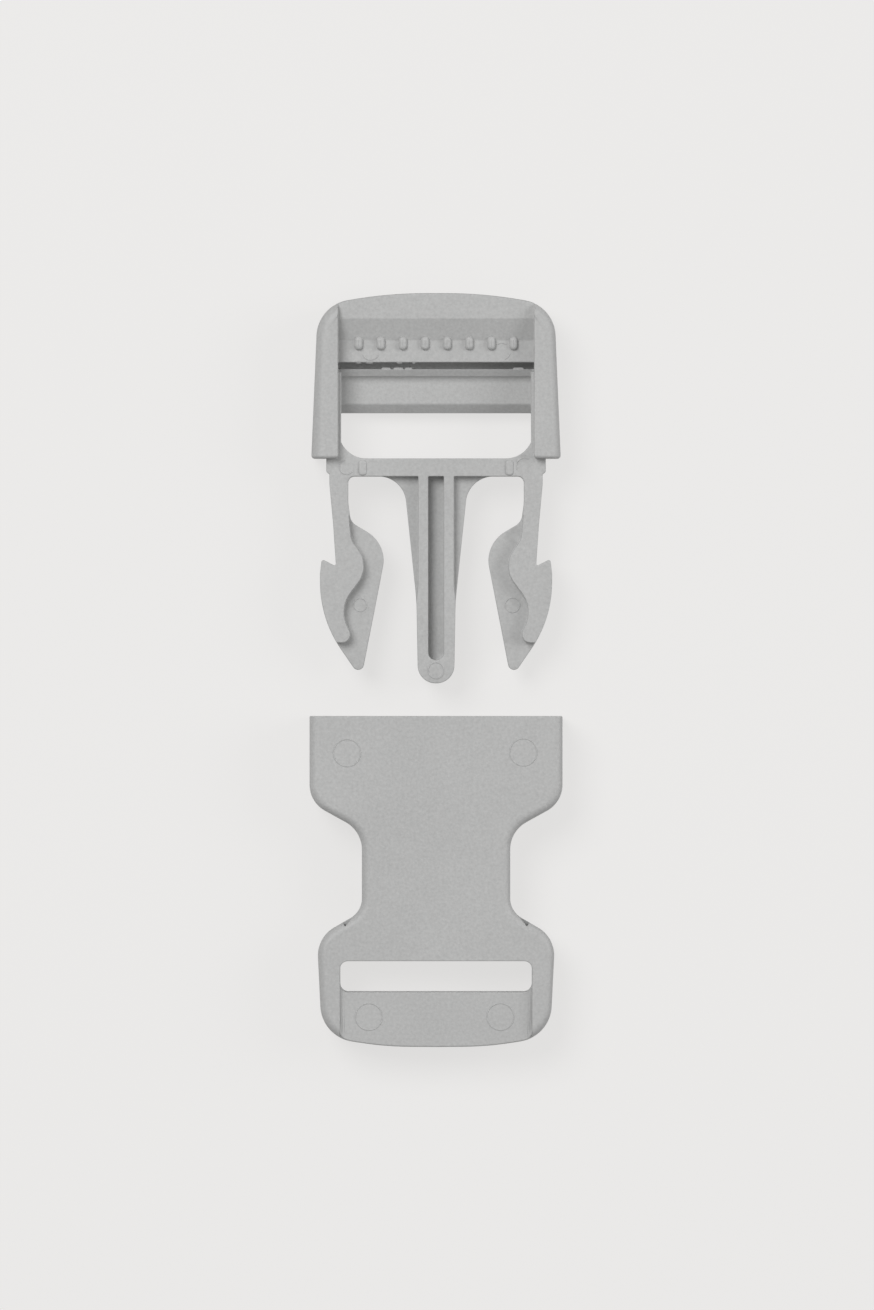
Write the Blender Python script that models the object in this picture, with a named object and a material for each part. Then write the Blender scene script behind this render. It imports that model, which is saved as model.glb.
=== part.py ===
"""A side-release buckle for 25 mm webbing, unfastened, both halves lying flat in line.

Run it with: blender --background --python part.py

Sizes are in millimetres and become metres in point(). Each half is drawn on one plan,
x to the right and v along the buckle. On the latch half v is 0 at the shoulder that
stops against the socket, and on the socket half v is 0 at the mouth, both growing
towards the socket's strap end. Fastened, the two plans coincide, so a fit between the
halves can be read straight from their sizes. Heights z run from the table, at 0.
"""

import math

import bmesh
import bpy
from mathutils import Vector

MM = 0.001

# The buckle as it lies: y of the latch's shoulder and of the socket's mouth
SHOULDER_Y = 28.54
MOUTH_Y = -6.23
THICKNESS = 8.0
MIDDLE_Z = THICKNESS / 2

# Clearances, and how the solids are cut
RUNNING_GAP = 0.3
ARM_SPLIT = 0.35
CHORD_ERROR = 0.015
OVERRUN = 1.0
FAR_X = 20.0

# Latch half: the tongue plate, its guide prong and its two arms
PLATE_HEIGHT = 4.6
SHOULDER_X = 14.8
SHOULDER_LENGTH = 1.8
CROSSBAR_LENGTH = 2.42
PRONG_ROOT_X = 4.4
PRONG_WAIST = (2.64, 19.2)
PRONG_X = 2.44
PRONG_END = 30.34
RIB_OUTER_X = 2.41
RIB_INNER_X = 1.05
WEB_START = 2.38
GROOVE_END = 27.2
SIDE_WEB_TAPER = 17.0
SIDE_WEB_END = 21.5
SIDE_WEB_DEPTH = 1.4
GROOVE_DEPTH = 1.9
BOSS_X = 9.88
BOSS_LENGTH = 2.0
BOSS_WIDTH = 1.0
BOSS_RISE = 0.2

# Latch half: the arms and their barbs
ARM_INNER_X = 11.86
ARM_OUTER_X = 14.38
ARM_STUB_END = 3.3
BARB_RECESS = 1.5

# Latch half: the strap adjuster
RAIL_INNER_X = 13.22
RAIL_OUTER_X = 16.95
RAIL_ROUND = 1.5
ADJUSTER_END = -22.27
WINDOW_X = 12.83
WINDOW_TOP = -6.16
WINDOW_ROUND = 3.68
LEDGE_START = -11.6
LIP_V = -12.96
RIDGE_V = -12.02
TOOTH_COUNT = 8
TOOTH_PITCH = 2.986
TOOTH_WIDTH = 1.25
TOOTH_START = -16.3
TOOTH_END = -14.45
TOOTH_RISE = 0.65
HANDLE_Z = 6.8
LIP_Z = 5.6
MIDDLE_BAR_Z = 3.4

# Socket half
SOCKET_X = 17.05
SOCKET_END = 44.6
SOCKET_ROUND = 1.0
PLATE_WALL = 1.4
WAIST_X = 10.0
GUIDE_START = 8.0
GUIDE_OUTER_X = 4.9
WINDOW_REAR = 28.0
POCKET_END = 29.5
POCKET_X = 12.35
CHANNEL_END = 30.95
SLOT_X = 12.95
SLOT_START = 33.0
SLOT_END = 37.2
SLOT_ROUND = 1.1
END_BAR_X = 13.1
END_BAR_STEP = 0.7


def rounded(corners):
    """An outline through (x, v, radius) corners, each rounded by an arc that touches both of its sides."""
    points = []
    for i, (x, v, radius) in enumerate(corners):
        corner = Vector((x, v))
        if radius == 0:
            points.append(corner)
            continue
        before = (Vector(corners[i - 1][:2]) - corner).normalized()
        after = (Vector(corners[(i + 1) % len(corners)][:2]) - corner).normalized()
        half_angle = math.acos(max(-1.0, min(1.0, before.dot(after)))) / 2
        centre = corner + (before + after).normalized() * radius / math.sin(half_angle)
        start = corner + before * radius / math.tan(half_angle) - centre
        sweep = math.pi - 2 * half_angle
        turn = math.copysign(1, before.x * after.y - before.y * after.x)
        steps = max(1, math.ceil(sweep / (2 * math.acos(1 - CHORD_ERROR / max(radius, 0.1)))))
        for step in range(steps + 1):
            angle = -turn * sweep * step / steps
            spun = Vector((start.x * math.cos(angle) - start.y * math.sin(angle),
                           start.x * math.sin(angle) + start.y * math.cos(angle)))
            points.append(centre + spun)
    return points


def both_sides(half):
    """A whole outline from the half at x >= 0, whose first and last corners lie on x = 0."""
    right = rounded(half)
    left = [Vector((-p.x, p.y)) for p in reversed(right) if p.x > 1e-6]
    return right + left


def rectangle(x_low, x_high, v_low, v_high, radius=0):
    return rounded([(x_low, v_low, radius), (x_high, v_low, radius),
                    (x_high, v_high, radius), (x_low, v_high, radius)])


def point(x, v, z):
    """The place of a plan point at height z, in metres from the object's origin at half height."""
    return Vector((x * MM, -v * MM, (z - MIDDLE_Z) * MM))


def new_object(name, mesh_builder, location=(0, 0, 0)):
    mesh = bpy.data.meshes.new(name)
    bm = bmesh.new()
    mesh_builder(bm)
    bmesh.ops.recalc_face_normals(bm, faces=bm.faces)
    bm.to_mesh(mesh)
    bm.free()
    obj = bpy.data.objects.new(name, mesh)
    obj.location = location
    bpy.context.scene.collection.objects.link(obj)
    return obj


def extrude_outline(bm, outline, z_low, z_high, rim_round=0, offset=Vector((0, 0, 0))):
    """A plate with the outline's shape, its upper and lower rims rounded by rim_round."""
    face = bm.faces.new([bm.verts.new(point(p.x, p.y, z_low) - offset) for p in outline])
    made = bmesh.ops.extrude_face_region(bm, geom=[face])["geom"]
    top = [g for g in made if isinstance(g, bmesh.types.BMVert)]
    bmesh.ops.translate(bm, vec=(0, 0, (z_high - z_low) * MM), verts=top)
    if rim_round:
        flat = [f for f in bm.faces if len(f.verts) == len(outline)]
        rim = {edge for f in flat for edge in f.edges}
        bmesh.ops.bevel(bm, geom=list(rim), offset=rim_round * MM, segments=3, profile=0.5,
                        affect="EDGES")


def plate(name, outline, z_low, z_high, rim_round=0, offset=Vector((0, 0, 0))):
    return new_object(name, lambda bm: extrude_outline(
        bm, outline, z_low, z_high, rim_round, offset))


def through_cut(name, outline):
    return plate(name, outline, -OVERRUN, THICKNESS + OVERRUN)


def bar(name, section, half_length):
    """A bar across the buckle, from its section of (v, z) corners."""
    def build(bm):
        face = bm.faces.new([bm.verts.new(point(-half_length, v, z)) for v, z in section])
        made = bmesh.ops.extrude_face_region(bm, geom=[face])["geom"]
        end = [g for g in made if isinstance(g, bmesh.types.BMVert)]
        bmesh.ops.translate(bm, vec=(2 * half_length * MM, 0, 0), verts=end)
    return new_object(name, build)


def several(name, outlines, z_low, z_high):
    """Separate plates of one height in one helper object."""
    def build(bm):
        for outline in outlines:
            extrude_outline(bm, outline, z_low, z_high)
    return new_object(name, build)


def combine(target, operation, *tools):
    """Boolean modifiers that stay on the target. Each tool becomes a hidden helper beside it."""
    for tool in tools:
        modifier = target.modifiers.new(f"{operation.lower()}_{tool.name}", "BOOLEAN")
        modifier.operation = operation
        modifier.solver = "EXACT"
        modifier.object = tool
        tool.hide_render = True
        tool.display_type = "WIRE"
    return target


def place(target, location, helpers):
    """Moves a node to its place, with the helpers that shape it parented to it."""
    target.location = location
    for helper in helpers:
        helper.parent = target


def plastic(name, colour, roughness):
    material = bpy.data.materials.new(name)
    material.use_nodes = True
    shader = material.node_tree.nodes["Principled BSDF"]
    shader.inputs["Base Color"].default_value = (*colour, 1)
    shader.inputs["Roughness"].default_value = roughness
    shader.inputs["Metallic"].default_value = 0
    return material


def adjuster_outline():
    """The latch half's outer shape above its shoulder, run on past it so that the end is cut square."""
    return both_sides([(0, ADJUSTER_END, 0),
                       (6.5, ADJUSTER_END, 60),
                       (15.95, -20.6, 5),
                       (RAIL_OUTER_X, 3, 0),
                       (0, 3, 0)])


def tongue_outline():
    """The latch half's plate: side ledges, crossbar, shoulders, arm stubs and guide prong."""
    return both_sides([(0, LEDGE_START, 0),
                       (14.2, LEDGE_START, 0),
                       (14.2, -0.3, 0),
                       (SHOULDER_X, -0.3, 0),
                       (SHOULDER_X, SHOULDER_LENGTH, 0.2),
                       (ARM_OUTER_X, SHOULDER_LENGTH + 0.35, 0.2),
                       (ARM_OUTER_X, ARM_STUB_END, 0),
                       (ARM_INNER_X, ARM_STUB_END, 0),
                       (ARM_INNER_X, CROSSBAR_LENGTH, 0.85),
                       (PRONG_ROOT_X, CROSSBAR_LENGTH, 3.7),
                       (*PRONG_WAIST, 30),
                       (PRONG_X, PRONG_END, PRONG_X - 0.01),
                       (0, PRONG_END, 0)])


def side_web_corners():
    """The thin web beside the prong's rib, which tapers to nothing as the prong narrows."""
    return [(9.5, WEB_START), (RIB_OUTER_X, WEB_START), (RIB_OUTER_X, SIDE_WEB_TAPER),
            (RIB_OUTER_X + 0.44, SIDE_WEB_END), (9.5, SIDE_WEB_END)]


def barb_outline(side):
    """One arm with its barb: the hook faces out, and the tip closes in towards the prong."""
    corners = [(ARM_OUTER_X, ARM_STUB_END + ARM_SPLIT, 0),
               (13.88, 8.9, 25),
               (13.5, 14.55, 0.15),
               (15.42, 13.58, 0.15),
               (15.66, 15.6, 2),
               (15.62, 21.7, 16),
               (10.1, 29.75, 0.8),
               (6.56, 11.54, 4.5),
               (11.5, 8.58, 1.8),
               (ARM_INNER_X, 6.0, 5),
               (ARM_INNER_X, ARM_STUB_END + ARM_SPLIT, 0)]
    return [Vector((side * p.x, p.y)) for p in rounded(corners)]


def barb_recess_outline(side):
    """The sunk inner part of a barb, bounded by the wave that its raised outer pad ends in."""
    corners = [(11.15, 7.0, 0),
               (11.78, 7.75, 0),
               (11.5, 10.94, 2.5),
               (8.92, 14.63, 3.65),
               (13.1, 20.2, 4.3),
               (11.0, 24.85, 1.1),
               (16.0, 24.9, 0),
               (16.0, 31.0, 0),
               (5.0, 31.0, 0),
               (5.0, 7.2, 0)]
    return [Vector((side * p.x, p.y)) for p in rounded(corners)]


def socket_outline():
    """The socket's outer shape, run on past its mouth so that the mouth is cut square."""
    return both_sides([(0, -3, 0),
                       (SOCKET_X, -3, 0),
                       (SOCKET_X, 11.6, 4.0),
                       (WAIST_X, 15.5, 4.2),
                       (WAIST_X, 26.4, 3.2),
                       (16.05, 29.9, 4.2),
                       (15.4, 43.2, 5.0),
                       (7.0, 44.55, 45),
                       (0, SOCKET_END, 0)])


def cavity_outline():
    """The socket's hollow: mouth, tapering collar, side windows, tip pockets and prong channel."""
    return both_sides([(0, -4, 0),
                       (15.15, -4, 0),
                       (15.15, 2.4, 0),
                       (14.78, 3.4, 0),
                       (14.3, 8.5, 0),
                       (13.95, 13.6, 0),
                       (FAR_X, 13.6, 0),
                       (FAR_X, WINDOW_REAR, 0),
                       (POCKET_X, WINDOW_REAR, 0),
                       (POCKET_X, POCKET_END, 1.4),
                       (GUIDE_OUTER_X, POCKET_END, 0),
                       (GUIDE_OUTER_X, GUIDE_START, 0.35),
                       (4.12, GUIDE_START, 0.35),
                       (PRONG_WAIST[0] + RUNNING_GAP, PRONG_WAIST[1], 0),
                       (PRONG_X + RUNNING_GAP, 27.9, 0),
                       (PRONG_X + RUNNING_GAP, CHANNEL_END, 0),
                       (0, CHANNEL_END, 0)])


def lock_bar_section():
    """The adjuster's end bar: a raised handle, a slope, and the lip that grips the strap."""
    return [(-24.0, HANDLE_Z), (-18.85, HANDLE_Z), (-15.93, LIP_Z), (LIP_V, LIP_Z),
            (LIP_V, 5.2), (-15.2, 3.2), (-16.2, 3.1), (-18.85, 4.1), (-24.0, 4.1)]


def middle_bar_section():
    """The bar that the strap loops round: a sharp ridge, a hollow behind it, and a foot under the lip."""
    return [(RIDGE_V, 4.8), (-11.12, 4.1), (-10.95, 3.75), (-10.6, 3.5), (-10.1, MIDDLE_BAR_Z),
            (-7.35, MIDDLE_BAR_Z), (WINDOW_TOP, 2.3), (WINDOW_TOP, 1.3), (-6.5, 0.9), (-13.0, 0.9),
            (-13.35, 1.3), (-13.35, 2.1), (RIDGE_V - 0.1, 2.3)]


def make_latch_frame():
    top = MIDDLE_Z + PLATE_HEIGHT / 2
    low = MIDDLE_Z - PLATE_HEIGHT / 2
    frame = plate("latch_frame", adjuster_outline(), 0, THICKNESS, RAIL_ROUND)
    end_cut = through_cut("shoulder_cut", rectangle(-FAR_X, FAR_X, 0, 10))
    bay = through_cut("strap_bay", rectangle(-RAIL_INNER_X, RAIL_INNER_X, -30, 10))
    bar_reach = RAIL_INNER_X + 1.8
    bars = [bar("lock_bar", lock_bar_section(), bar_reach),
            bar("middle_bar", middle_bar_section(), bar_reach)]
    combine(bay, "DIFFERENCE", *bars)

    tongue = plate("tongue", tongue_outline(), low, top)
    window = both_sides([(0, -16, 0), (WINDOW_X, -16, 0), (WINDOW_X, -2.28, 0),
                         (11.88, 0, WINDOW_ROUND), (0, 0, 0)])
    groove = rounded([(-RIB_INNER_X, WEB_START, 0), (RIB_INNER_X, WEB_START, 0),
                      (RIB_INNER_X, GROOVE_END, RIB_INNER_X - 0.05),
                      (-RIB_INNER_X, GROOVE_END, RIB_INNER_X - 0.05)])
    webs = [[Vector((side * x, v)) for x, v in side_web_corners()] for side in (-1, 1)]
    cuts = [through_cut("strap_window", window),
            plate("groove_above", groove, top - GROOVE_DEPTH, top + OVERRUN),
            plate("groove_below", groove, low - OVERRUN, low + GROOVE_DEPTH),
            several("webs_above", webs, top - SIDE_WEB_DEPTH, top + OVERRUN),
            several("webs_below", webs, low - OVERRUN, low + SIDE_WEB_DEPTH)]
    combine(tongue, "DIFFERENCE", *cuts)

    first_tooth = -TOOTH_PITCH * (TOOTH_COUNT - 1) / 2
    teeth = several("teeth", [
        rectangle(first_tooth + i * TOOTH_PITCH - TOOTH_WIDTH / 2,
                  first_tooth + i * TOOTH_PITCH + TOOTH_WIDTH / 2,
                  TOOTH_START, TOOTH_END, TOOTH_WIDTH / 2 - 0.02)
        for i in range(TOOTH_COUNT)], LIP_Z - OVERRUN, LIP_Z + TOOTH_RISE)
    bosses = several("bosses", [
        rectangle(side * BOSS_X - BOSS_WIDTH / 2, side * BOSS_X + BOSS_WIDTH / 2,
                  0.25, 0.25 + BOSS_LENGTH, BOSS_WIDTH / 2 - 0.02)
        for side in (-1, 1)], top - OVERRUN, top + BOSS_RISE)

    combine(frame, "DIFFERENCE", bay, end_cut)
    combine(frame, "UNION", tongue, teeth, bosses)
    place(frame, (0, SHOULDER_Y * MM, MIDDLE_Z * MM),
          [bay, end_cut, *bars, tongue, teeth, bosses, *cuts])
    return frame


def make_arm(name, side, frame):
    """An arm whose origin is the middle of its root, where it bends."""
    top = MIDDLE_Z + PLATE_HEIGHT / 2
    low = MIDDLE_Z - PLATE_HEIGHT / 2
    root_x = side * (ARM_INNER_X + ARM_OUTER_X) / 2
    root = point(root_x, ARM_STUB_END + ARM_SPLIT, MIDDLE_Z)
    arm = plate(name, barb_outline(side), low, top, offset=root)
    recess = barb_recess_outline(side)
    cuts = [plate(f"{name}_recess_above", recess, top - BARB_RECESS, top + OVERRUN, offset=root),
            plate(f"{name}_recess_below", recess, low - OVERRUN, low + BARB_RECESS, offset=root)]
    combine(arm, "DIFFERENCE", *cuts)
    place(arm, root, cuts)
    arm.parent = frame
    return arm


def make_socket():
    socket = plate("socket_body", socket_outline(), 0, THICKNESS, SOCKET_ROUND)
    mouth_cut = through_cut("mouth_cut", rectangle(-FAR_X, FAR_X, -10, 0))
    cavity = plate("cavity", cavity_outline(), PLATE_WALL, THICKNESS - PLATE_WALL)
    slot = through_cut("strap_slot",
                       rectangle(-SLOT_X, SLOT_X, SLOT_START, SLOT_END, SLOT_ROUND))
    step = rectangle(-END_BAR_X, END_BAR_X, (SLOT_START + SLOT_END) / 2, SOCKET_END + 2)
    steps = [plate("end_bar_step_above", step, THICKNESS - END_BAR_STEP, THICKNESS + OVERRUN),
             plate("end_bar_step_below", step, -OVERRUN, END_BAR_STEP)]
    combine(socket, "DIFFERENCE", *steps, slot, cavity, mouth_cut)
    place(socket, (0, MOUTH_Y * MM, MIDDLE_Z * MM), [mouth_cut, cavity, slot, *steps])
    return socket


def main():
    for obj in list(bpy.data.objects):
        bpy.data.objects.remove(obj, do_unlink=True)
    frame = make_latch_frame()
    nodes = [make_socket(), frame,
             make_arm("left_arm", -1, frame), make_arm("right_arm", 1, frame)]
    acetal = plastic("grey_acetal", (0.47, 0.47, 0.465), 0.55)
    for node in nodes:
        node.data.materials.append(acetal)
        node.data.shade_smooth()
        node.data.set_sharp_from_angle(angle=math.radians(35))


main()
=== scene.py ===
"""Looks of the side-release buckle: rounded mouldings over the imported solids, plastic, light and camera.

Sizes are in millimetres, on the same plans as the solids: x to the right, v along the buckle, z up from
the table. Each half has v = 0 where the two halves meet when fastened: the latch at its shoulder, the
socket at its mouth.
"""

import math

import bmesh
import bpy
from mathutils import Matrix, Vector

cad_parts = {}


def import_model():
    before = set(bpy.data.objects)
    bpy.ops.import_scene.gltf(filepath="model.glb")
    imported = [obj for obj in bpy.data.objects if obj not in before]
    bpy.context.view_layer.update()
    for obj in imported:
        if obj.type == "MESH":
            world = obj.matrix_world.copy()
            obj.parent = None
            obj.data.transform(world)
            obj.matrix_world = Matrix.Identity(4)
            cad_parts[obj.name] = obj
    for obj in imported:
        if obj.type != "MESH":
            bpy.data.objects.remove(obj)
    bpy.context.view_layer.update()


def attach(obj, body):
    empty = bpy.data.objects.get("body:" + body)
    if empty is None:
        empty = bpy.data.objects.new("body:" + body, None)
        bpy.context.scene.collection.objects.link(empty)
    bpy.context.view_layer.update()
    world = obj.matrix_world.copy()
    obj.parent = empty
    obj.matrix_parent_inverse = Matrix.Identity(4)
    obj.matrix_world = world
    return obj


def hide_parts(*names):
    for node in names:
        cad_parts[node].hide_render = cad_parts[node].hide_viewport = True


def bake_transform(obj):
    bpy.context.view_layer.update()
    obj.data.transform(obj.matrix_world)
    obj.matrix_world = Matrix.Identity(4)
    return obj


MM = 0.001

# The buckle as it lies: y of the latch's shoulder and of the socket's mouth
SHOULDER_Y = 28.54
MOUTH_Y = -6.23
THICKNESS = 8.0

# How outlines are stepped, cut, cleaned and rounded
CHORD_ERROR = 0.004
OVERRUN = 1.0
MERGE_DISTANCE = 0.004
FLAT_ANGLE = math.radians(0.4)
EDGE_ROUND = 0.12
EDGE_STEPS = 3
SHARP_ANGLE = math.radians(32)
CREASE_ANGLE = math.radians(40)

# Latch half: the plate with its prong, window and crossbar
PLATE_LOW = 1.7
PLATE_TOP = 6.3
WINDOW_X = 12.83
WINDOW_ROUND = 3.68
CROSSBAR_FRONT = 2.42
RIB_OUTER_X = 2.41
RIB_INNER_X = 1.05
GROOVE_END = 27.2
GROOVE_DEPTH = 1.9
WEB_X = 9.5
WEB_TAPER_START = 17.0
WEB_TAPER = 0.44
WEB_END = 21.5
WEB_DEPTH = 1.4
BOSS_X = 9.9
BOSS_HALF_WIDTH = 0.54
BOSS_RISE = 0.2

# Latch half: the arms and their barbs
ARM_INNER_X = 11.86
ARM_OUTER_X = 14.38
ARM_SEAM_V = 3.3
ARM_SIDE_X = 6
BARB_RECESS = 1.5

# Latch half: the strap adjuster
ADJUSTER_ROUND = 1.5
RAIL_INNER_X = 13.22
RAIL_END_ROUND = 0.4
BAR_REACH_X = 15
HANDLE_Z = 6.8
SLOPE_START = -18.85
SLOPE_END = -15.93
LIP_V = -12.96
LIP_Z = 5.6
MIDDLE_BAR_Z = 3.4
MIDDLE_BAR_FRONT = -6.16
FOOT_BACK = -13.35
FOOT_Z = 0.9
TOOTH_COUNT = 8
TOOTH_PITCH = 2.986
TOOTH_HALF_WIDTH = 0.57
TOOTH_BACK = -16.45
TOOTH_FRONT = -14.62
TOOTH_RISE = 0.65

# Socket half
SOCKET_ROUND = 1.12
CAVITY_LOW = 1.4
CAVITY_TOP = 6.6
NICK_LOW = 2
SLOT_X = 12.95
SLOT_START = 33.0
SLOT_END = 37.2
SLOT_ROUND = 1.1
END_BAR_START = 35.1
BEYOND_END_BAR = 47
END_BAR_STEP = 0.7
COVE_X = SLOT_X + 0.046
COVE_RADIUS = 1.0

# The photograph, in pixels and in pixels to the millimetre, and the camera that matches it
PHOTO_HEIGHT = 1310
PHOTO_SCALE = 7.42
SENSOR_HEIGHT = 24
CAMERA_DISTANCE = 2000
CAMERA_AIM = (0.13, 2.02, 7.6)


# Outlines and meshes

def rounded(corners):
    """An outline through (x, v, radius) corners, each rounded by an arc that touches both of its sides."""
    points = []
    for i, (x, v, radius) in enumerate(corners):
        corner = Vector((x, v))
        if radius == 0:
            points.append(corner)
            continue
        before = (Vector(corners[i - 1][:2]) - corner).normalized()
        after = (Vector(corners[(i + 1) % len(corners)][:2]) - corner).normalized()
        half_angle = math.acos(max(-1.0, min(1.0, before.dot(after)))) / 2
        centre = corner + (before + after).normalized() * radius / math.sin(half_angle)
        start = corner + before * radius / math.tan(half_angle) - centre
        sweep = math.pi - 2 * half_angle
        turn = math.copysign(1, before.x * after.y - before.y * after.x)
        steps = max(2, math.ceil(sweep / (2 * math.acos(1 - CHORD_ERROR / max(radius, 0.1)))))
        for step in range(steps + 1):
            angle = -turn * sweep * step / steps
            spun = Vector((start.x * math.cos(angle) - start.y * math.sin(angle),
                           start.x * math.sin(angle) + start.y * math.cos(angle)))
            points.append(centre + spun)
    return points


def both_sides(half):
    right = rounded(half)
    return right + [Vector((-p.x, p.y)) for p in reversed(right) if p.x > 1e-6]


def mirrored(outline, side):
    return [Vector((side * p.x, p.y)) for p in outline]


def rectangle(x_low, x_high, v_low, v_high, radius=0):
    return rounded([(x_low, v_low, radius), (x_high, v_low, radius),
                    (x_high, v_high, radius), (x_low, v_high, radius)])


def new_object(name, mesh_builder):
    mesh = bpy.data.meshes.new(name)
    bm = bmesh.new()
    mesh_builder(bm)
    bmesh.ops.recalc_face_normals(bm, faces=bm.faces)
    bm.to_mesh(mesh)
    bm.free()
    obj = bpy.data.objects.new(name, mesh)
    bpy.context.scene.collection.objects.link(obj)
    return obj


def extrude(bm, places, reach):
    """A closed bar that starts at the places. A fixed order of points gives the same mesh on every run."""
    near = [bm.verts.new(place * MM) for place in places]
    far = [bm.verts.new(place * MM + reach * MM) for place in places]
    bm.faces.new(near)
    bm.faces.new(reversed(far))
    for i in range(len(places)):
        bm.faces.new((near[i], near[i - 1], far[i - 1], far[i]))
    bm.normal_update()


def prism(name, outlines, z_low, z_high, base_y, rim=0.0, rim_steps=8, rim_top_only=False):
    """Upright plates with the outlines' shapes, the rims of their flat faces rounded by rim."""
    def build(bm):
        for outline in outlines:
            extrude(bm, [Vector((p.x, base_y - p.y, z_low)) for p in outline],
                    Vector((0, 0, z_high - z_low)))
        if rim:
            level = [f for f in bm.faces if abs(f.normal.z) > 0.9
                     and not (rim_top_only and f.calc_center_median().z < (z_low + z_high) / 2 * MM)]
            edges = list(dict.fromkeys(edge for f in level for edge in f.edges))
            bmesh.ops.bevel(bm, geom=edges, offset=rim * MM, segments=rim_steps,
                            profile=0.5, affect="EDGES")
    return new_object(name, build)


def across(name, section, half_length, base_y):
    """A bar across the buckle, from its section of (v, z, radius) corners."""
    places = [Vector((-half_length, base_y - p.x, p.y)) for p in rounded(section)]
    return new_object(name, lambda bm: extrude(bm, places, Vector((2 * half_length, 0, 0))))


def along(name, section, v_low, v_high, base_y):
    """A bar along the buckle, from its section of (x, z, radius) corners."""
    places = [Vector((p.x, base_y - v_low, p.y)) for p in rounded(section)]
    return new_object(name, lambda bm: extrude(bm, places, Vector((0, v_low - v_high, 0))))


def settle(obj):
    """Applies the object's modifiers to its mesh."""
    graph = bpy.context.evaluated_depsgraph_get()
    mesh = bpy.data.meshes.new_from_object(obj.evaluated_get(graph))
    obj.modifiers.clear()
    old = obj.data
    obj.data = mesh
    bpy.data.meshes.remove(old)


def boolean(target, operation, *tools):
    for tool in tools:
        modifier = target.modifiers.new(tool.name, "BOOLEAN")
        modifier.operation = operation
        modifier.solver = "EXACT"
        modifier.object = tool
    settle(target)
    for tool in tools:
        bpy.data.objects.remove(tool, do_unlink=True)
    return target


def merge_flat_faces(obj):
    bm = bmesh.new()
    bm.from_mesh(obj.data)
    bmesh.ops.remove_doubles(bm, verts=bm.verts, dist=MERGE_DISTANCE * MM)
    bmesh.ops.dissolve_limit(bm, angle_limit=FLAT_ANGLE, verts=bm.verts, edges=bm.edges)
    bm.to_mesh(obj.data)
    bm.free()


def round_edges(obj):
    merge_flat_faces(obj)
    bevel = obj.modifiers.new("edges", "BEVEL")
    bevel.width = EDGE_ROUND * MM
    bevel.segments = EDGE_STEPS
    bevel.limit_method = "ANGLE"
    bevel.angle_limit = SHARP_ANGLE
    bevel.use_clamp_overlap = False
    bevel.miter_outer = "MITER_ARC"
    settle(obj)


def round_edges_on_plane(obj, y, width):
    """Rounds the edges that lie on one upright plane across the buckle."""
    tolerance = 0.002 * MM
    bm = bmesh.new()
    bm.from_mesh(obj.data)
    edges = [e for e in bm.edges if all(abs(v.co.y - y * MM) < tolerance for v in e.verts)]
    bmesh.ops.bevel(bm, geom=edges, offset=width * MM, segments=5, profile=0.5, affect="EDGES")
    bm.to_mesh(obj.data)
    bm.free()


def finish_surface(obj, material):
    obj.data.materials.clear()
    obj.data.materials.append(material)
    for polygon in obj.data.polygons:
        polygon.use_smooth = True
    obj.data.set_sharp_from_angle(angle=CREASE_ANGLE)
    weighted = obj.modifiers.new("flat_faces", "WEIGHTED_NORMAL")
    weighted.keep_sharp = True
    weighted.weight = 100
    settle(obj)


def join(target, *others):
    """Adds the others' meshes to the target's as they stand, each closed in itself."""
    bm = bmesh.new()
    bm.from_mesh(target.data)
    for other in others:
        bm.from_mesh(other.data)
        bpy.data.objects.remove(other, do_unlink=True)
    bm.to_mesh(target.data)
    bm.free()


def ejector_marks(name, marks, base_y, z):
    """The rings that round ejector pins leave in a moulding: fine beads that stand just proud of a face.

    Each mark is (x, v, radius, first, last), an arc between two angles in degrees.
    """
    half_width = 0.08
    rise = 0.075
    sides = 8
    step_angle = 5

    def build(bm):
        for x, v, radius, first, last in marks:
            steps = max(6, round((last - first) / step_angle))
            whole = last - first == 360
            loops = []
            for i in range(steps if whole else steps + 1):
                turn = math.radians(first + (last - first) * i / steps)
                out = Vector((math.cos(turn), math.sin(turn), 0))
                middle = Vector((x, base_y - v, z)) + out * radius
                around = [2 * math.pi * (j + 0.5) / sides for j in range(sides)]
                loops.append([bm.verts.new((middle + out * (half_width * math.cos(a))
                                            + Vector((0, 0, rise * math.sin(a)))) * MM) for a in around])
            for i in range(steps):
                here, there = loops[i], loops[(i + 1) % len(loops)]
                for j in range(sides):
                    after = (j + 1) % sides
                    bm.faces.new((here[j], here[after], there[after], there[j]))
            if not whole:
                bm.faces.new(loops[0])
                bm.faces.new(loops[-1])
    return new_object(name, build)


# Latch half

def adjuster_outline():
    return both_sides([(0, -22.27, 0),
                       (6.5, -22.27, 60),
                       (15.95, -20.6, 5),
                       (16.95, 3, 0),
                       (0, 3, 0)])


def tongue_outline():
    return both_sides([(0, -11.6, 0),
                       (14.2, -11.6, 0),
                       (14.2, -0.3, 0),
                       (14.8, -0.3, 0),
                       (14.8, 1.8, 0.25),
                       (ARM_OUTER_X, 2.15, 0.2),
                       (ARM_OUTER_X, 3.5, 0),
                       (ARM_OUTER_X - 1, 3.65, 0),
                       (ARM_INNER_X, 3.65, 0),
                       (ARM_INNER_X, CROSSBAR_FRONT, 0.85),
                       (4.4, CROSSBAR_FRONT, 3.7),
                       (2.64, 19.2, 30),
                       (2.44, 30.34, 2.43),
                       (0, 30.34, 0)])


def barb_outline():
    return rounded([(ARM_OUTER_X, 3.5, 0),
                    (13.88, 8.9, 25),
                    (13.5, 14.55, 0.2),
                    (15.42, 13.55, 0.28),
                    (15.66, 15.6, 2),
                    (15.62, 21.7, 16),
                    (10.1, 29.75, 0.8),
                    (6.56, 11.54, 4.5),
                    (11.5, 8.58, 1.8),
                    (ARM_INNER_X, 6.0, 5),
                    (ARM_INNER_X, 3.5, 0)])


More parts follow.
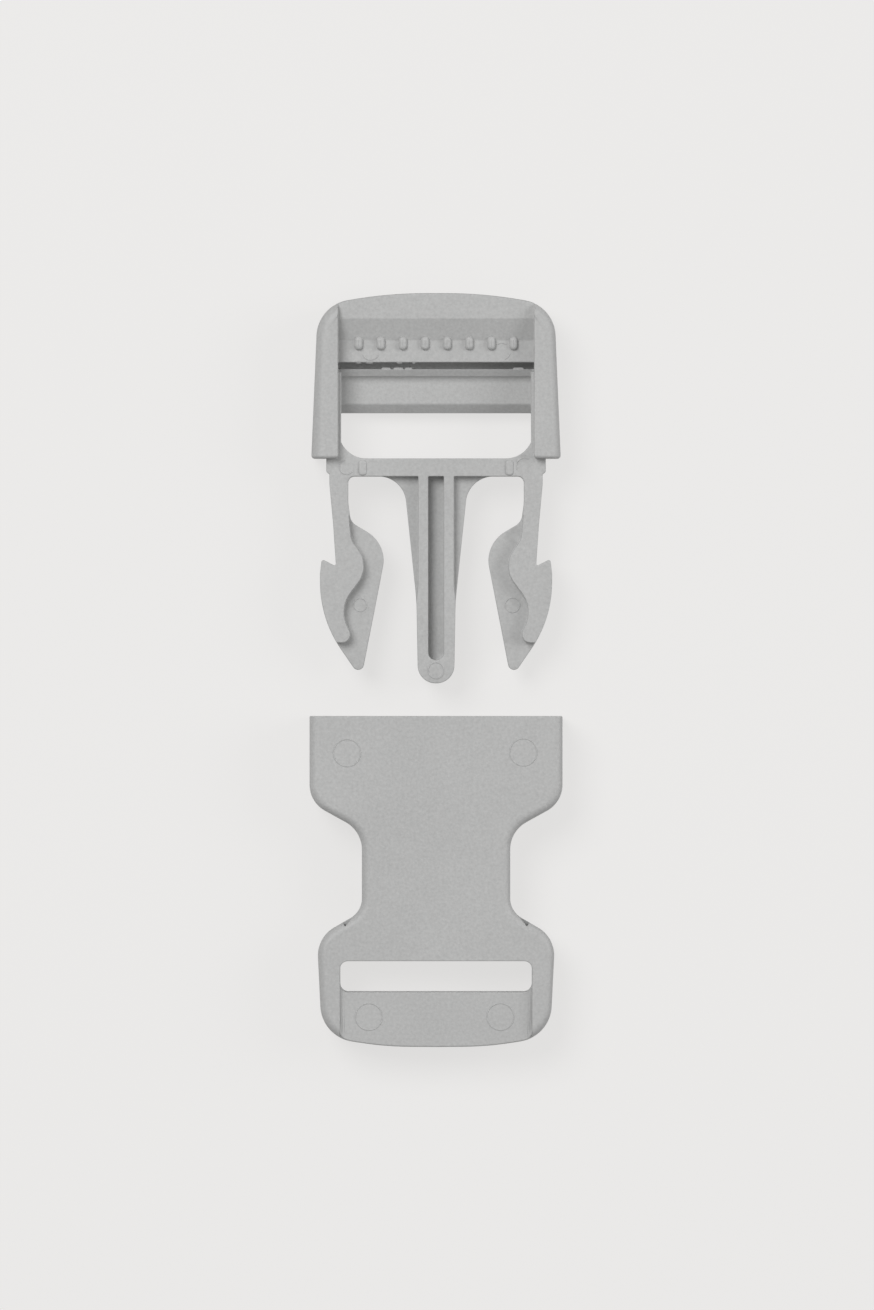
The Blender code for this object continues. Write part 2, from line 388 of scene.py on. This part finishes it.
def barb_recess_outline():
    return rounded([(11.15, 7.0, 0),
                    (11.78, 7.75, 0),
                    (11.5, 10.94, 2.5),
                    (8.92, 14.63, 3.65),
                    (13.1, 20.2, 4.3),
                    (11.0, 24.85, 1.1),
                    (16.0, 24.9, 0),
                    (16.0, 31.0, 0),
                    (5.0, 31.0, 0),
                    (5.0, 7.2, 0)])


def lock_bar_section():
    """The bar that presses on the strap: a handle, a slope down to the toothed lip, and a hollow below."""
    return [(-24.0, HANDLE_Z, 0),
            (SLOPE_START, HANDLE_Z, 0.5),
            (SLOPE_END, LIP_Z, 0.4),
            (LIP_V, LIP_Z, 0.15),
            (LIP_V, 5.2, 0.1),
            (-15.2, 3.2, 0.4),
            (-16.2, 3.1, 0.4),
            (SLOPE_START, 4.1, 0.5),
            (-24.0, 4.1, 0)]


def middle_bar_section():
    """The bar that the strap loops round: a sharp ridge, a hollow before it, and a foot under the lip."""
    return [(-12.02, 4.8, 0.05),
            (-11.12, 4.1, 0.08),
            (-10.85, MIDDLE_BAR_Z, 1.05),
            (-7.35, MIDDLE_BAR_Z, 0.5),
            (MIDDLE_BAR_FRONT, 2.3, 0.12),
            (MIDDLE_BAR_FRONT, 1.3, 0.2),
            (-6.5, FOOT_Z, 0.2),
            (-13.0, FOOT_Z, 0.2),
            (FOOT_BACK, 1.3, 0.2),
            (FOOT_BACK, 2.1, 0.1),
            (-12.12, 2.3, 0.1)]


def through(name, outlines, base_y):
    return prism(name, outlines, -OVERRUN, THICKNESS + OVERRUN, base_y)


def make_latch():
    """The latch half as one moulding, before its arms are cut off it along their seams."""
    base_y = SHOULDER_Y
    latch = prism("latch_moulding", [adjuster_outline()], 0, THICKNESS, base_y, rim=ADJUSTER_ROUND)
    bay = through("bay", [rectangle(-RAIL_INNER_X, RAIL_INNER_X, -30, 10)], base_y)
    lock_bar = across("lock_bar", lock_bar_section(), BAR_REACH_X, base_y)
    middle_bar = across("middle_bar", middle_bar_section(), BAR_REACH_X, base_y)
    boolean(bay, "DIFFERENCE", lock_bar, middle_bar)
    end_cut = through("end_cut", [rectangle(-20, 20, 0, 10)], base_y)
    boolean(latch, "DIFFERENCE", bay, end_cut)
    merge_flat_faces(latch)
    round_edges_on_plane(latch, base_y, RAIL_END_ROUND)

    tongue = prism("tongue", [tongue_outline()], PLATE_LOW, PLATE_TOP, base_y)
    window = both_sides([(0, -16, 0), (WINDOW_X, -16, 0), (WINDOW_X, -2.28, 0),
                         (11.88, 0, WINDOW_ROUND), (0, 0, 0)])
    groove = rounded([(-RIB_INNER_X, CROSSBAR_FRONT, 0), (RIB_INNER_X, CROSSBAR_FRONT, 0),
                      (RIB_INNER_X, GROOVE_END, 1.0), (-RIB_INNER_X, GROOVE_END, 1.0)])
    web = [(WEB_X, CROSSBAR_FRONT), (RIB_OUTER_X, CROSSBAR_FRONT), (RIB_OUTER_X, WEB_TAPER_START),
           (RIB_OUTER_X + WEB_TAPER, WEB_END), (WEB_X, WEB_END)]
    webs = [[Vector((side * x, v)) for x, v in web] for side in (-1, 1)]
    boolean(tongue, "DIFFERENCE",
            through("window", [window], base_y),
            prism("groove_above", [groove], PLATE_TOP - GROOVE_DEPTH, PLATE_TOP + OVERRUN, base_y),
            prism("groove_below", [groove], PLATE_LOW - OVERRUN, PLATE_LOW + GROOVE_DEPTH, base_y),
            prism("webs_above", webs, PLATE_TOP - WEB_DEPTH, PLATE_TOP + OVERRUN, base_y),
            prism("webs_below", webs, PLATE_LOW - OVERRUN, PLATE_LOW + WEB_DEPTH, base_y))

    barbs = []
    for side in (-1, 1):
        barb = prism(f"barb_{side}", [mirrored(barb_outline(), side)], PLATE_LOW, PLATE_TOP, base_y)
        recess = mirrored(barb_recess_outline(), side)
        boolean(barb, "DIFFERENCE",
                prism("recess_above", [recess], PLATE_TOP - BARB_RECESS, PLATE_TOP + OVERRUN, base_y),
                prism("recess_below", [recess], PLATE_LOW - OVERRUN, PLATE_LOW + BARB_RECESS, base_y))
        barbs.append(barb)
    boolean(latch, "UNION", tongue, *barbs)
    round_edges(latch)
    return latch


def add_teeth_and_bosses(latch):
    first = -TOOTH_PITCH * (TOOTH_COUNT - 1) / 2
    middles = [first + i * TOOTH_PITCH for i in range(TOOTH_COUNT)]
    teeth = prism("teeth", [rectangle(x - TOOTH_HALF_WIDTH, x + TOOTH_HALF_WIDTH,
                                      TOOTH_BACK, TOOTH_FRONT, 0.55) for x in middles],
                  LIP_Z - OVERRUN, LIP_Z + TOOTH_RISE, SHOULDER_Y,
                  rim=0.48, rim_steps=6, rim_top_only=True)
    bosses = prism("bosses", [rectangle(x - BOSS_HALF_WIDTH, x + BOSS_HALF_WIDTH, 0.22, 2.3, 0.45)
                              for x in (-BOSS_X, BOSS_X)],
                   PLATE_TOP - OVERRUN, PLATE_TOP + BOSS_RISE, SHOULDER_Y,
                   rim=0.19, rim_steps=4, rim_top_only=True)
    join(latch, teeth, bosses)


def flash():
    """Scraps of flash, where the mould's two halves met: on the ridge, and under the edge of the lip."""
    on_ridge = [rectangle(low, high, -12.28, -11.85, 0.17)
                for low, high in ((-7.35, -6.15), (-5.75, -4.45), (-4.2, -3.25), (10.4, 11.8))]
    on_lip = [rectangle(low, high, -13.4, -12.84, 0.08)
              for low, high in ((-10.75, -10.15), (-9.4, -8.5), (-5.3, -4.6), (-3.2, -2.75))]
    return (prism("ridge_flash", on_ridge, 4.1, 4.24, SHOULDER_Y),
            prism("lip_flash", on_lip, 5.27, 5.39, SHOULDER_Y))


def latch_marks():
    lip = [(-8.83, -14.4, 1.12, 205, 335), (8.9, -14.45, 1.12, 55, 125), (8.9, -14.45, 1.12, 290, 345)]
    plate = [(0, 28.61, 1.08, 0, 360), (11.93, 1.05, 1.08, 60, 205), (-12.06, 1.2, 0.95, 100, 330)]
    barbs = [(-10.24, 19.75, 0.88, 0, 360), (10.31, 19.8, 0.98, 0, 360)]
    return (ejector_marks("lip_marks", lip, SHOULDER_Y, LIP_Z),
            ejector_marks("plate_marks", plate, SHOULDER_Y, PLATE_TOP),
            ejector_marks("barb_marks", barbs, SHOULDER_Y, PLATE_TOP - BARB_RECESS))


def split_off_arm(latch, name, side):
    """Cuts one arm off the latch moulding across its root, so that the two share the same edge there."""
    seam_y = (SHOULDER_Y - ARM_SEAM_V) * MM
    arm = latch.copy()
    arm.data = latch.data.copy()
    arm.name = name
    bpy.context.scene.collection.objects.link(arm)
    for obj in (arm, latch):
        bm = bmesh.new()
        bm.from_mesh(obj.data)
        bmesh.ops.triangulate(bm, faces=bm.faces)
        bmesh.ops.bisect_plane(bm, geom=list(bm.verts) + list(bm.edges) + list(bm.faces),
                               plane_co=(0, seam_y, 0), plane_no=(0, 1, 0), dist=1e-8)
        dropped = []
        for face in bm.faces:
            middle = face.calc_center_median()
            on_arm = side * middle.x > ARM_SIDE_X * MM and middle.y < seam_y
            if on_arm != (obj is arm):
                dropped.append(face)
        bmesh.ops.delete(bm, geom=dropped, context="FACES")
        bm.to_mesh(obj.data)
        bm.free()
    return arm


# Socket half

def socket_outline():
    return both_sides([(0, -3, 0),
                       (17.05, -3, 0),
                       (17.05, 11.6, 4.0),
                       (10.0, 15.5, 4.2),
                       (10.0, 26.4, 3.2),
                       (16.05, 29.9, 4.2),
                       (15.4, 43.2, 5.0),
                       (7.0, 44.55, 45),
                       (0, 44.6, 0)])


def cavity_outline():
    return both_sides([(0, -4, 0),
                       (15.15, -4, 0),
                       (15.15, 2.4, 0),
                       (14.78, 3.4, 0),
                       (14.3, 8.5, 0),
                       (13.95, 13.6, 0),
                       (20, 13.6, 0),
                       (20, 28.0, 0),
                       (12.35, 28.0, 0),
                       (12.35, 29.5, 1.4),
                       (4.9, 29.5, 0),
                       (4.9, 8.0, 0.35),
                       (4.12, 8.0, 0.35),
                       (2.94, 19.2, 0),
                       (2.74, 27.9, 0),
                       (2.74, 30.95, 0),
                       (0, 30.95, 0)])


def make_socket():
    base_y = MOUTH_Y
    socket = prism("socket_moulding", [socket_outline()], 0, THICKNESS, base_y,
                   rim=SOCKET_ROUND, rim_steps=5)
    step_section = [(-COVE_X, THICKNESS + 2, 0), (COVE_X, THICKNESS + 2, 0),
                    (COVE_X, THICKNESS - END_BAR_STEP, COVE_RADIUS),
                    (-COVE_X, THICKNESS - END_BAR_STEP, COVE_RADIUS)]
    low_section = [(x, THICKNESS - z, radius) for x, z, radius in step_section]
    nick = [Vector(place) for place in ((11.15, 26.95), (12.26, 28.36), (12.5, 27.98), (12.6, 27.2))]
    boolean(socket, "DIFFERENCE",
            along("step_above", step_section, END_BAR_START, BEYOND_END_BAR, base_y),
            along("step_below", low_section, END_BAR_START, BEYOND_END_BAR, base_y),
            through("slot", [rectangle(-SLOT_X, SLOT_X, SLOT_START, SLOT_END, SLOT_ROUND)], base_y),
            prism("cavity", [cavity_outline()], CAVITY_LOW, CAVITY_TOP, base_y),
            prism("nicks", [mirrored(nick, side) for side in (-1, 1)], NICK_LOW, THICKNESS + OVERRUN,
                  base_y),
            through("mouth", [rectangle(-20, 20, -10, 0)], base_y))
    round_edges(socket)
    return socket


def socket_marks():
    body = [(-11.98, 4.93, 1.83, 0, 360), (11.78, 4.84, 1.83, 0, 360)]
    end_bar = [(-9.04, 40.51, 1.8, 0, 360), (8.69, 40.51, 1.8, 0, 360)]
    return (ejector_marks("socket_marks", body, MOUTH_Y, THICKNESS),
            ejector_marks("bar_marks", end_bar, MOUTH_Y, THICKNESS - END_BAR_STEP))


# Plastic, light and camera

def moulded_plastic():
    """Grey acetal with the fine spark-eroded grain of its mould."""
    material = bpy.data.materials.new("moulded_plastic")
    material.use_nodes = True
    nodes, links = material.node_tree.nodes, material.node_tree.links
    shader = nodes["Principled BSDF"]
    shader.inputs["Roughness"].default_value = 0.5
    shader.inputs["IOR"].default_value = 1.48
    shader.inputs["Specular IOR Level"].default_value = 0.45
    place = nodes.new("ShaderNodeTexCoord")

    def noise(scale, detail, roughness=0.5):
        node = nodes.new("ShaderNodeTexNoise")
        node.inputs["Scale"].default_value = scale
        node.inputs["Detail"].default_value = detail
        node.inputs["Roughness"].default_value = roughness
        links.new(place.outputs["Object"], node.inputs["Vector"])
        return node.outputs["Fac"]

    def ramp(source, low, high):
        """Spreads the noise's usual values, 0.3 to 0.7, from low to high."""
        node = nodes.new("ShaderNodeMapRange")
        node.inputs["From Min"].default_value = 0.3
        node.inputs["From Max"].default_value = 0.7
        node.inputs["To Min"].default_value = low
        node.inputs["To Max"].default_value = high
        links.new(source, node.inputs["Value"])
        return node.outputs["Result"]

    def times(a, b):
        node = nodes.new("ShaderNodeMath")
        node.operation = "MULTIPLY"
        links.new(a, node.inputs[0])
        links.new(b, node.inputs[1])
        return node.outputs["Value"]

    grain = noise(scale=2600, detail=5, roughness=0.7)
    flow = noise(scale=90, detail=2)
    shade = times(ramp(grain, 0.9, 1.1), ramp(flow, 0.975, 1.025))
    tint = nodes.new("ShaderNodeMix")
    tint.data_type = "RGBA"
    tint.blend_type = "MULTIPLY"
    tint.inputs["Factor"].default_value = 1
    tint.inputs["A"].default_value = (0.485, 0.487, 0.483, 1)
    links.new(shade, tint.inputs["B"])
    links.new(tint.outputs["Result"], shader.inputs["Base Color"])
    links.new(ramp(grain, 0.43, 0.57), shader.inputs["Roughness"])
    bump = nodes.new("ShaderNodeBump")
    bump.inputs["Strength"].default_value = 0.35
    bump.inputs["Distance"].default_value = 0.00006
    links.new(noise(scale=3800, detail=3, roughness=0.6), bump.inputs["Height"])
    links.new(bump.outputs["Normal"], shader.inputs["Normal"])
    return material


def table_material():
    """A pale table lit softly from within, so that shadows and the strap openings stay light."""
    material = bpy.data.materials.new("pale_table")
    material.use_nodes = True
    shader = material.node_tree.nodes["Principled BSDF"]
    shader.inputs["Base Color"].default_value = (0.16, 0.158, 0.156, 1)
    shader.inputs["Roughness"].default_value = 0.9
    shader.inputs["Specular IOR Level"].default_value = 0.1
    shader.inputs["Emission Color"].default_value = (1.0, 0.99, 0.98, 1)
    shader.inputs["Emission Strength"].default_value = 0.68
    return material


def add_floor():
    """The table top, a hair below the undersides so that no two faces share a plane."""
    reach = 3.0
    top_z = -0.02 * MM

    def build(bm):
        bm.faces.new([bm.verts.new((x * reach, y * reach, top_z)) for x, y in
                      ((-1, -1), (1, -1), (1, 1), (-1, 1))])
    floor = new_object("floor", build)
    floor.data.materials.append(table_material())
    floor.visible_diffuse = False


def add_light(name, place, size, watts):
    """A round soft light that points at the middle of the buckle."""
    data = bpy.data.lights.new(name, "AREA")
    data.shape = "DISK"
    data.size = size
    data.energy = watts
    lamp = bpy.data.objects.new(name, data)
    lamp.location = place
    lamp.rotation_euler = (-Vector(place)).to_track_quat("-Z", "Y").to_euler()
    bpy.context.scene.collection.objects.link(lamp)


def add_lighting():
    world = bpy.data.worlds.new("studio")
    world.use_nodes = True
    background = world.node_tree.nodes["Background"]
    background.inputs["Color"].default_value = (1.0, 0.995, 0.99, 1)
    background.inputs["Strength"].default_value = 0.33
    bpy.context.scene.world = world
    add_light("key", place=(-0.46, 0.5, 1.0), size=0.7, watts=8.2)
    add_light("fill", place=(1.0, 0.2, 0.65), size=0.7, watts=4.4)
    bpy.context.scene.view_settings.view_transform = "Standard"


def add_camera():
    """Looks straight down, at the photograph's scale just under the buckle's top."""
    frame_height = PHOTO_HEIGHT / PHOTO_SCALE
    data = bpy.data.cameras.new("camera")
    data.type = "PERSP"
    data.sensor_fit = "VERTICAL"
    data.sensor_height = SENSOR_HEIGHT
    data.lens = SENSOR_HEIGHT * CAMERA_DISTANCE / frame_height
    data.clip_start = 0.01
    camera = bpy.data.objects.new("camera", data)
    aim_x, aim_y, aim_z = CAMERA_AIM
    camera.location = Vector((aim_x, aim_y, aim_z + CAMERA_DISTANCE)) * MM
    bpy.context.scene.collection.objects.link(camera)
    bpy.context.scene.camera = camera


def add_latch(plastic):
    latch = make_latch()
    add_teeth_and_bosses(latch)
    join(latch, *flash(), *latch_marks())
    arms = {"left_arm": split_off_arm(latch, "left_arm_moulding", -1),
            "right_arm": split_off_arm(latch, "right_arm_moulding", 1)}
    finish_surface(latch, plastic)
    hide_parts("latch_frame")
    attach(latch, "latch")
    for node, arm in arms.items():
        finish_surface(arm, plastic)
        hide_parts(node)
        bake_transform(arm)


def add_socket(plastic):
    socket = make_socket()
    join(socket, *socket_marks())
    finish_surface(socket, plastic)
    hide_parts("socket_body")
    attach(socket, "socket")


def main():
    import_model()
    plastic = moulded_plastic()
    add_latch(plastic)
    add_socket(plastic)
    add_floor()
    add_lighting()
    add_camera()


main()
